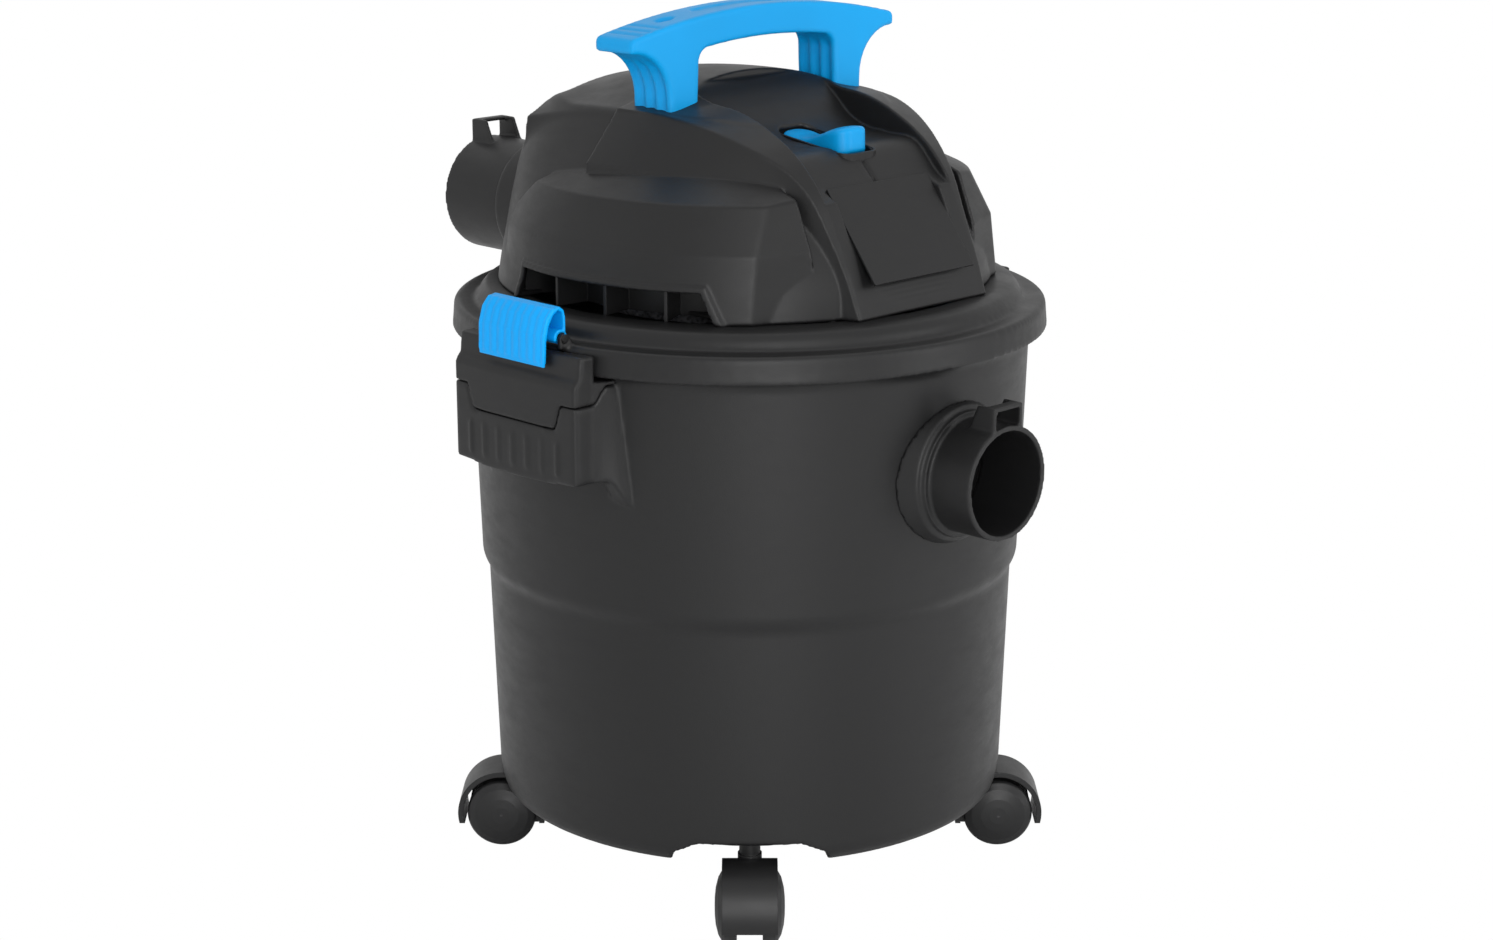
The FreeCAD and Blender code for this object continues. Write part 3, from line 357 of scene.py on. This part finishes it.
def rounded_box(x, y, half_x, half_y, corner):
    qx = np.abs(x) - half_x + corner
    qy = np.abs(y) - half_y + corner
    outside = np.sqrt(np.maximum(qx, 0) ** 2 + np.maximum(qy, 0) ** 2)
    return outside + np.minimum(np.maximum(qx, qy), 0) - corner


# ------------------------------------------------------------ head housing

HEAD_BASE = 338.0
FRONT_RADIUS = [(338, 131.0), (355, 129.0), (372, 122.0), (389, 112.0), (403, 101.0), (416, 90.0),
                (428, 80.0), (440, 70.0), (460, 58.0)]
SIDE_RADIUS = [(338, 140.0), (355, 133.0), (372, 123.0), (389, 112.5), (403, 102.5), (416, 93.0),
               (426, 86.0),
               (434, 80.5), (446, 72.0), (460, 62.0)]
REAR_RADIUS = [(338, 141.0), (355, 140.0), (372, 137.5), (389, 133.0), (403, 128.0), (416, 121.0),
               (427, 114.0),
               (438, 107.0), (460, 92.0)]
REAR_SQUARENESS = [(338, 2.0), (360, 2.1), (389, 2.5), (430, 3.6), (460, 3.6)]
SADDLE_RIDGE = [(-140, 318.0), (-131, 338.0), (-124, 356.0), (-112, 381.0), (-102, 400.0), (-91, 413.0),
                (-78, 423.0), (-66, 429.5), (-44, 437.5), (-20, 440.5), (8, 441.0), (60, 439.5),
                (92, 437.0), (104, 428.0),
                (140, 380.0)]
SADDLE_HALF = [(-140, 49.5), (-131, 50.5), (-113, 53.0), (-100, 56.5), (-88, 60.5), (-75, 66.0),
               (-62, 71.0),
               (-35, 77.5), (-10, 80.0), (140, 80.0)]
SADDLE_FLARE = [(-140, 0.1), (-90, 0.15), (-60, 0.35), (-20, 0.7), (140, 0.75)]
SADDLE_LEAN = [(-140, 0.35), (-95, 0.3), (-55, 0.22), (-20, 0.15), (140, 0.15)]
CENTRE_LINE = [(-140, 396.0), (-96, 400.6), (-81, 415.5), (-60, 418.6), (-40, 421.4), (-30, 426.0),
               (-18, 436.5), (-4, 447.0), (12, 451.5), (40, 449.5), (99, 440.0), (140, 430.0)]
VENT_FRONT = (0.383, 0.923)
DOME_TOP = 452.5
DOME_FRONT = 2.0
CHANNEL_HALF = 48.5
WALL = 2.6
PANEL_HALF = 39.6
PANEL_TOP = (-94.7, 401.6)
PANEL_BOTTOM = (-130.4, 355.0)
ROCKER_Y = -57.0
BAND_Z = 418.8
BAND_TILT = math.radians(7.6)
PORT_X = -30.0
PORT_Z = 366.0
GLAND_X = 46.0
GLAND_Z = 356.0


def to_band(y, z):
    """Coordinates along and square to the sloping band that holds the rocker."""
    dy = y - ROCKER_Y
    dz = z - BAND_Z
    along = dy * math.cos(BAND_TILT) + dz * math.sin(BAND_TILT)
    above = dz * math.cos(BAND_TILT) - dy * math.sin(BAND_TILT)
    return along, above


def saddle(f):
    """The wide strap that runs over the head from the rear down to the front foot."""
    x, y, z = np.abs(f.x), f.y, f.z
    ridge = curve(SADDLE_RIDGE, y)
    steep = np.hypot(1.0, np.gradient(ridge, f.step, axis=1))
    roof = (z - ridge + curve(SADDLE_LEAN, y) * np.maximum(x - CHANNEL_HALF, 0)) / steep
    flare = curve(SADDLE_FLARE, y)
    flank = (x - curve(SADDLE_HALF, y) - flare * np.clip(ridge - 5 - z, 0, 26)) / np.hypot(1.0, flare)
    return both(both(roof, flank, 0.7), y - 20.0)


def vent_box(f):
    """Box on each side of the head: sloping shelf, creased outer wall and an oblique front face."""
    x, y, z = np.abs(f.x), f.y, f.z
    radius = np.hypot(x, y)
    wall = radius - np.interp(z, [330, 342, 373, 398, 410], [138.6, 137.6, 134.0, 121.5, 115.0])
    shelf = (z - 397.5 - 0.46 * (121.5 - radius)) * 0.91
    reach = np.interp(z, [330, 342, 373, 398, 410], [128.0, 127.4, 125.0, 115.5, 108.0])
    front = VENT_FRONT[0] * x - VENT_FRONT[1] * y - reach
    rear = slab(y, z, [(-140, 330), (79, 330), (78, 380), (36, 410), (-140, 410)])
    return both(both(both(wall, shelf, 0.4), front, 0.8), both(rear, 63.0 - x, 0.6), 0.6)


def head_outside(f):
    """Distance to the head's outer surface, with its strap, centre band, vent boxes and port boss."""
    x, y, z = np.abs(f.x), f.y, f.z
    side, front, rear = curve(SIDE_RADIUS, z), curve(FRONT_RADIUS, z), curve(REAR_RADIUS, z)
    power = curve(REAR_SQUARENESS, z)
    ahead = np.sqrt((x / side) ** 2 + (y / front) ** 2)
    behind = ((x / side) ** power + (np.maximum(y, 0) / rear) ** power) ** (1 / power)
    shape = (np.where(y < 0, ahead, behind) - 1) * 0.8 * side
    past_front = np.maximum(DOME_FRONT - y, 0)
    dome = z - DOME_TOP + 0.0029 * x ** 2 + 0.0012 * np.maximum(y - 8, 0) ** 2 + 0.012 * past_front ** 2
    dome = dome / np.hypot(1.0, 0.024 * past_front)
    roof = curve(SADDLE_RIDGE, y)
    shape = both(shape, z - roof + 0.15 * np.maximum(x - CHANNEL_HALF, 0), 1.6)
    shape = union(shape, saddle(f), 0.5)
    shape = union(shape, vent_box(f), 0.4)
    shape = union(shape, both(both(dome, x - 80.0, 2.0), both(y - 96.0, 400.0 - z)), 3.0)
    middle = curve(CENTRE_LINE, y)
    slope = np.hypot(1.0, np.gradient(middle, f.step, axis=1))
    channel = both(both((middle - z) / slope, x - CHANNEL_HALF, 0.5), y, 1.0)
    shape = cut(shape, channel, 0.8)
    (y0, z0), (y1, z1) = PANEL_TOP, PANEL_BOTTOM
    run = math.hypot(y1 - y0, z1 - z0)
    panel = ((z - z0) * (y0 - y1) - (y - y0) * (z0 - z1)) / run
    shape = cut(shape, both(both(-panel, x - PANEL_HALF), z - z0 - 0.2), 0.8)
    boss = both(np.hypot(f.x - PORT_X, z - PORT_Z) - 36.0, np.abs(y - 100) - 43.0, 3.0)
    shape = union(shape, boss, 4.0)
    return both(shape, HEAD_BASE - z, 0.6)


def head_housing():
    """Hollow head with its vent mouths, rocker well, panel slot and the holes for port and gland."""
    f = Field((-148, -140, 334), (148, 148, 458), 1.0)
    x, y, z = np.abs(f.x), f.y, f.z
    outer = head_outside(f)
    opening = slab(y, z, [(-88, 330), (44, 330), (40, 354.5), (-77, 354.5)])
    lip = both(both(opening - 3.6, outer - 1.6, 0.8), both(66.0 - x, HEAD_BASE - z))
    outer = union(outer, lip, 0.8)
    shell = cut(outer, outer + WALL)
    shell = union(shell, both(both(outer, HEAD_BASE - z), both(z - HEAD_BASE - 0.1, -WALL - outer)))
    shell = cut(shell, both(opening, 100.0 - x), 0.8)
    along, above = to_band(y, z)
    well = both(rounded_box(f.x, along, 12.6, 26.0, 6.4), -above - 20.0)
    shell = cut(shell, well, 0.6)
    slot = both(np.abs(f.x) - 1.0, both(np.abs(y + 88.0) - 7.6, -(outer + 1.6)))
    shell = cut(shell, slot, 0.4)
    shell = cut(shell, both(np.hypot(f.x - PORT_X, z - PORT_Z) - 31.8, 115.0 - y))
    shell = cut(shell, both(np.hypot(f.x - GLAND_X, z - GLAND_Z) - 7.1, 115.0 - y))
    return f.mesh(shell, "head_moulding")


# ------------------------------------------------------------ handle

def polygon(u, v, points):
    """Exact distance to a closed outline."""
    nearest = np.full(np.broadcast(u, v).shape, 1e9)
    sign = np.ones_like(nearest)
    for (u0, v0), (u1, v1) in zip(points, points[1:] + points[:1]):
        du, dv = u1 - u0, v1 - v0
        t = np.clip(((u - u0) * du + (v - v0) * dv) / (du * du + dv * dv), 0, 1)
        nearest = np.minimum(nearest, np.hypot(u - u0 - t * du, v - v0 - t * dv))
        above = v >= v0
        below = v < v1
        left = du * (v - v0) > dv * (u - u0)
        flip = (above & below & left) | (~above & ~below & ~left)
        sign = np.where(flip, -sign, sign)
    return nearest * sign


HANDLE_HALF = 14.8
HANDLE_END = 101.0
LEG_OUT = 73.5
LEG_IN = 53.3
GRIP_TOP = 489.5
GRIP_END = 477.5
GRIP_UNDER = 472.3


def handle_outline():
    """Half of the handle's side view, from the middle of the top outwards and back under the grip."""
    half = [(x, GRIP_TOP - (GRIP_TOP - GRIP_END) * (x / HANDLE_END) ** 2) for x in range(0, 100, 8)]
    half += [(HANDLE_END - 1.5, GRIP_END + 0.2), (HANDLE_END, GRIP_END - 2), (HANDLE_END, 471.0)]
    for step in range(0, 91, 10):
        turn = math.radians(step)
        half.append((HANDLE_END - 1 - 26 * math.sin(turn), 470.0 - 26 * (1 - math.cos(turn))))
    half += [(LEG_OUT, 428.0), (LEG_IN, 428.0), (LEG_IN - 1.0, 456.0)]
    for step in range(0, 91, 15):
        turn = math.radians(step)
        half.append((LEG_IN - 1.2 - 8 * (1 - math.cos(turn)), 461.5 + 8 * math.sin(turn)))
    half += [(x, GRIP_UNDER - 2.8 * (x / 44) ** 2) for x in (36, 28, 20, 12, 4)]
    return half + [(-x, z) for x, z in reversed(half) if x > 0]


def handle():
    """Bowed grip on two fluted legs."""
    f = Field((-105, -18, 425), (105, 18, 494), 1.0)
    side_view = polygon(f.x[:, 0, :], f.z[0, 0, :][None, :], handle_outline())[:, None, :]
    x, y, z = np.abs(f.x), f.y, f.z
    # flutes on the legs' outer and inner faces
    flutes = 1.7 * np.maximum(1 - (((np.abs(y) - 4.1) % 8.2 - 4.1) / 3.5) ** 2, 0) * (np.abs(y) < 12.3)
    on_leg = np.clip((z - 436) / 3, 0, 1) * np.clip((467 - z) / 5, 0, 1) * (x > 50)
    shape = both(side_view + flutes * on_leg, np.abs(y) - HANDLE_HALF, 2.6)
    top = GRIP_TOP - (GRIP_TOP - GRIP_END) * (x / HANDLE_END) ** 2
    # long shallow slot, steps near the ends and a dimple over each leg
    slot = both(rounded_box(f.x, y, 43.0, 5.0, 5.0), top - 1.1 - z)
    end_area = both(np.abs(x - 85.5) - 10.5, both(np.abs(y) - 12.0, top - 0.9 - z))
    steps = both(np.abs((x - 82.0) % 7.0 - 3.5) - 1.2, end_area)
    dimple = np.sqrt(((x - 64.0) / 6.0) ** 2 + (y / 4.0) ** 2 + ((z - top) / 3.2) ** 2) * 3.2 - 3.2
    for detail in (slot, steps, dimple):
        shape = cut(shape, detail, 0.9)
    return f.mesh(shape, "handle_moulding")


# ------------------------------------------------------------ rocker

ROCKER_PIVOT_Z = 415.0
ROCKER_REST = math.radians(9.0)


def rocker():
    """See-saw button with a dished top, a tall rounded front end and a low rear end."""
    f = Field((-15, -88, 398), (15, -26, 440), 0.5)
    along, above = to_band(f.y, f.z)
    above = above + (BAND_Z - ROCKER_PIVOT_Z)
    tilt = -ROCKER_REST
    u = along * math.cos(tilt) + above * math.sin(tilt)
    v = above * math.cos(tilt) - along * math.sin(tilt)
    top = curve([(-30, 11.0), (-22, 13.4), (-14, 12.6), (-5, 9.4), (3, 7.0), (10, 6.6), (18, 8.0),
                 (24, 8.4), (30, 7.8)], u)
    width = curve([(-30, 10.6), (-16, 11.0), (0, 9.8), (14, 10.4), (30, 10.2)], u)
    plan = both((np.abs(f.x) - width), rounded_box(f.x, u, 11.2, 24.4, 8.0), 0.8)
    under = curve([(-30, 2.5), (-22, -1.5), (-12, -6.2), (12, -6.2), (22, -1.5), (30, 2.5)], u)
    shape = both(plan, both(v - top + 0.012 * f.x ** 2, under - v, 1.0), 2.4)
    pin = both(np.hypot(u, v) - 1.5, np.abs(f.x) - 14.2)
    return f.mesh(union(shape, pin), "rocker_button")


# ------------------------------------------------------------ latches

def step(value, low, high):
    """0 below low, 1 above high, smooth between."""
    t = np.clip((value - low) / (high - low), 0, 1)
    return t * t * (3 - 2 * t)


def latch(side):
    """Clamp with a fluted outer skin, a rolled crest and an inner wall that clips round the pin."""
    f = Field((-180, -28, 314), (-156, 28, 351), 0.6)
    outline = [(-176.0, 316.8), (-173.6, 316.6), (-173.2, 330.0), (-171.2, 338.5), (-168.0, 343.4),
               (-164.5, 345.4),
               (-162.4, 344.0), (-162.0, 340.0), (-162.0, 334.0), (-159.4, 334.0), (-159.4, 342.0),
               (-160.4, 346.0),
               (-163.6, 348.4), (-168.6, 347.4), (-172.8, 342.4), (-175.4, 334.0)]
    view = polygon(f.x[:, 0, :], f.z[0, 0, :][None, :], outline)[:, None, :]
    outer_face = np.clip((-f.x - 166.0) / 5.0, 0, 1)
    flutes = 0.6 * np.abs(np.sin(math.pi * f.y / 5.8)) * outer_face * step(f.z, 318.5, 320.5)
    shape = both(view - flutes + 0.5, np.abs(f.y) - 26.0, 0.9)
    from_pin = np.hypot(f.x + 163.5, f.z - 331.5)
    clip = both(from_pin - 4.3, np.abs(f.y) - 26.0, 0.5)
    mouth = both(both(f.x + 163.2, f.z - 329.8), from_pin - 6.0)
    shape = cut(union(shape, clip, 0.8), union(from_pin - 2.35, mouth), 0.4)
    piece = f.mesh(shape, "latch_clamp_" + side)
    if side == "right":
        for vertex in piece.data.vertices:
            vertex.co.x = -vertex.co.x
        piece.data.flip_normals()
    return piece


# ------------------------------------------------------------ drum and catch blocks

DRUM_RADIUS = [(38, 131.0), (41, 137.0), (43.5, 141.2), (47, 144.0), (51, 145.0), (174.5, 148.9),
               (177, 149.5),
               (182, 152.0), (184.5, 152.5), (308, 156.3), (310, 157.0), (314, 160.6), (316, 161.0),
               (330, 161.0)]
DRUM_BASE = 41.0
DRUM_TOP = 321.7
DRUM_WALL = 2.6
INLET_Z = 253.5
CASTER_PLACE = 133.0
STEM_HOLE = 6.25
STEM_HOLE_TOP = 60.0
FAR = 1000.0
BLOCK_HALF = 48.0
BLOCK_FACE = 176.0
BLOCK_BOTTOM = 257.5
BLOCK_TOP = 325.0
SKIRT_CLEAR = 167.2


def block_shape(f):
    """Ribbed box, catch block and fins of one side, as one moulding that sweeps into the drum's wall."""
    x, y, z = np.abs(f.x), np.abs(f.y), f.z
    near = 1 - step(x, 146.0, 164.0)
    half = BLOCK_HALF + near * np.interp(z, [242, 306], [9.5, 3.5])
    bottom = BLOCK_BOTTOM - 16.0 * (1 - step(x, 143.0, 156.0)) - 2.0 * (1 - (y / BLOCK_HALF) ** 2)
    face = np.interp(z, [250, 309, 311.5, 314, BLOCK_TOP], [BLOCK_FACE, BLOCK_FACE, 174.6, 172.4, 171.3])
    face = face - 1.6 * (y / BLOCK_HALF) ** 2
    shape = both(both(y - half, x - face, 2.2), bottom - z, 0.8)
    across = (y + 5.75) % 11.5 - 5.75
    ribs = 0.95 * np.clip(1.5 * (1 - (across / 1.25) ** 2), 0, 1)
    ribs = ribs * step(z, 260.5, 262) * (1 - step(z + across ** 2, 278.5, 280)) * (y < 42) * (x > 170)
    return both(shape - ribs, z - BLOCK_TOP, 1.0)


def seam(f):
    """Height of the joint between the ribbed box and the catch block."""
    x, y = np.abs(f.x), np.abs(f.y)
    front = 286.0 + 13.0 * step(y, 31.5, 37.5)
    return front + 9.5 * (1 - step(x, 153.0, 162.0)) * step(y, 40.0, 44.0)


def drum():
    """Stepped wall with the ribbed boxes on its sides and a pocket over each caster."""
    f = Field((-180, -164, 36), (180, 164, 326), 1.5)
    radius = np.hypot(f.x, f.y)
    wall = np.interp(f.z, *zip(*DRUM_RADIUS))
    outer = radius - wall
    inner = both(radius - wall + DRUM_WALL, DRUM_BASE + DRUM_WALL - f.z, 3.0)
    block = both(both(block_shape(f), f.z - seam(f) + 0.25), f.z - 309.0)
    hollow = both(both(np.abs(f.y) - 45.0, np.abs(f.x) - 173.0), both(f.z - 282.0, 20.0 - f.z))
    solid = union(outer, cut(block, hollow), 1.0)
    for quarter in range(4):
        turn = math.radians(45 + 90 * quarter)
        away = np.hypot(f.x - CASTER_PLACE * math.cos(turn), f.y - CASTER_PLACE * math.sin(turn))
        reach = np.interp(f.z, [36, 47.5, 54, 54.01], [42.0, 42.0, 29.5, 0.0])
        room = both((away - reach) * 0.8, f.z - 54.0)
        solid = cut(solid, room, 1.0)
        inner = cut(inner, both((away - reach) * 0.8 - DRUM_WALL, f.z - 56.6), 1.0)
        inner = cut(inner, both(away - 10.0, f.z - 80.0))
        inner = union(inner, both(away - 7.0, 55.5 - f.z))
        solid = cut(solid, away - STEM_HOLE + FAR * (f.z > STEM_HOLE_TOP))
    shell = cut(solid, inner)
    shell = both(both(shell, f.z - DRUM_TOP, 0.6), DRUM_BASE - f.z, 0.6)
    shell = cut(shell, both(np.hypot(f.x, f.z - INLET_Z) - 31.0, f.y + 100.0))
    return f.mesh(shell, "drum_moulding")


def catch_block(side):
    """Upper part of the side moulding, clear of the lid's skirt and of the drum's wall."""
    sign = -1 if side == "left" else 1
    low, high = sorted((sign * 142.0, sign * 179.0))
    f = Field((low, -60, 280), (high, 60, 328), 0.9)
    radius = np.hypot(f.x, f.y)
    drum_wall = radius - np.interp(f.z, *zip(*DRUM_RADIUS)) - 0.1
    skirt = both(radius - SKIRT_CLEAR, 311.0 - f.z)
    shape = both(block_shape(f), seam(f) + 0.25 - f.z, 0.5)
    shape = cut(cut(shape, skirt, 0.5), drum_wall)
    return f.mesh(shape, "catch_block_moulding_" + side)


stand_for(drum(), "drum", "drum_base", "drum_latch_boxes")
stand_for(head_housing(), "head_housing")
stand_for(handle(), "handle")
stand_for(rocker(), "rocker")
for side in ("left", "right"):
    stand_for(latch(side), "latch_" + side)
    stand_for(catch_block(side), "catch_block_" + side)


# ------------------------------------------------------------ stage

def backdrop():
    """Pale floor that the object stands on."""
    half = 6.0
    mesh = bpy.data.meshes.new("floor")
    mesh.from_pydata([(-half, -half, 0), (half, -half, 0), (half, half, 0),
                      (-half, half, 0)], [], [(0, 1, 2, 3)])
    floor = bpy.data.objects.new("floor", mesh)
    bpy.context.scene.collection.objects.link(floor)
    s = Shader("floor")
    patches = s.noise(3.0, 3.0, 0.5)
    s.link(s.mix(s.ranged(patches, 0.3, 0.7, 0.0, 1.0), (0.90, 0.90, 0.90), (0.93, 0.93, 0.93)),
           s.surface.inputs["Base Color"])
    s.surface.inputs["Roughness"].default_value = 0.6
    s.surface.inputs["Specular IOR Level"].default_value = 0.2
    # the floor lights the object from below and is plain white to the camera
    white = s.add("ShaderNodeEmission")
    seen = s.add("ShaderNodeMixShader")
    s.link(s.add("ShaderNodeLightPath").outputs["Is Camera Ray"], seen.inputs[0])
    s.link(s.surface.outputs["BSDF"], seen.inputs[1])
    s.link(white.outputs["Emission"], seen.inputs[2])
    s.link(seen.outputs["Shader"], s.tree.nodes["Material Output"].inputs["Surface"])
    mesh.materials.append(s.material)


def lamp(name, place, target, size, power):
    light = bpy.data.lights.new(name, "AREA")
    light.shape = "RECTANGLE"
    light.size, light.size_y = size
    light.energy = power
    obj = bpy.data.objects.new(name, light)
    bpy.context.scene.collection.objects.link(obj)
    obj.location = place
    direction = Vector(target) - Vector(place)
    obj.rotation_euler = direction.to_track_quat("-Z", "Y").to_euler()


def studio():
    world = bpy.data.worlds.new("studio")
    bpy.context.scene.world = world
    world.use_nodes = True
    # plain white behind the object, dimmer as a light
    tree = world.node_tree
    around = tree.nodes["Background"]
    around.inputs["Color"].default_value = (1.0, 1.0, 1.0, 1.0)
    around.inputs["Strength"].default_value = 0.74
    behind = tree.nodes.new("ShaderNodeBackground")
    behind.inputs["Color"].default_value = (1.0, 1.0, 1.0, 1.0)
    behind.inputs["Strength"].default_value = 1.0
    seen = tree.nodes.new("ShaderNodeMixShader")
    path = tree.nodes.new("ShaderNodeLightPath")
    tree.links.new(path.outputs["Is Camera Ray"], seen.inputs[0])
    tree.links.new(around.outputs["Background"], seen.inputs[1])
    tree.links.new(behind.outputs["Background"], seen.inputs[2])
    tree.links.new(seen.outputs["Shader"], tree.nodes["World Output"].inputs["Surface"])
    middle = (0.0, 0.0, 0.28)
    lamp("key", (-1.0, -2.0, 2.0), middle, (1.2, 1.2), 6)
    lamp("front", (-1.5, -2.0, 0.75), middle, (0.9, 1.8), 26)
    lamp("side_left", (-2.0, 0.9, 0.8), middle, (0.7, 1.8), 2)
    lamp("side_right", (0.9, -2.0, 0.7), middle, (0.6, 1.6), 11)
    lamp("top", (0.2, 0.4, 2.4), middle, (1.6, 1.6), 5)


def camera():
    pitch = math.radians(15.337)
    data = bpy.data.cameras.new("camera")
    data.lens = 68.105
    data.sensor_width = 36.0
    data.shift_x = -0.0022
    data.clip_end = 50.0
    obj = bpy.data.objects.new("camera", data)
    bpy.context.scene.collection.objects.link(obj)
    obj.location = (-1.09888, -1.09888, 0.65037)
    obj.rotation_euler = (math.pi / 2 - pitch, 0.0, math.radians(-45.0))
    bpy.context.scene.camera = obj


backdrop()
studio()
camera()
bpy.context.scene.view_settings.view_transform = "Standard"
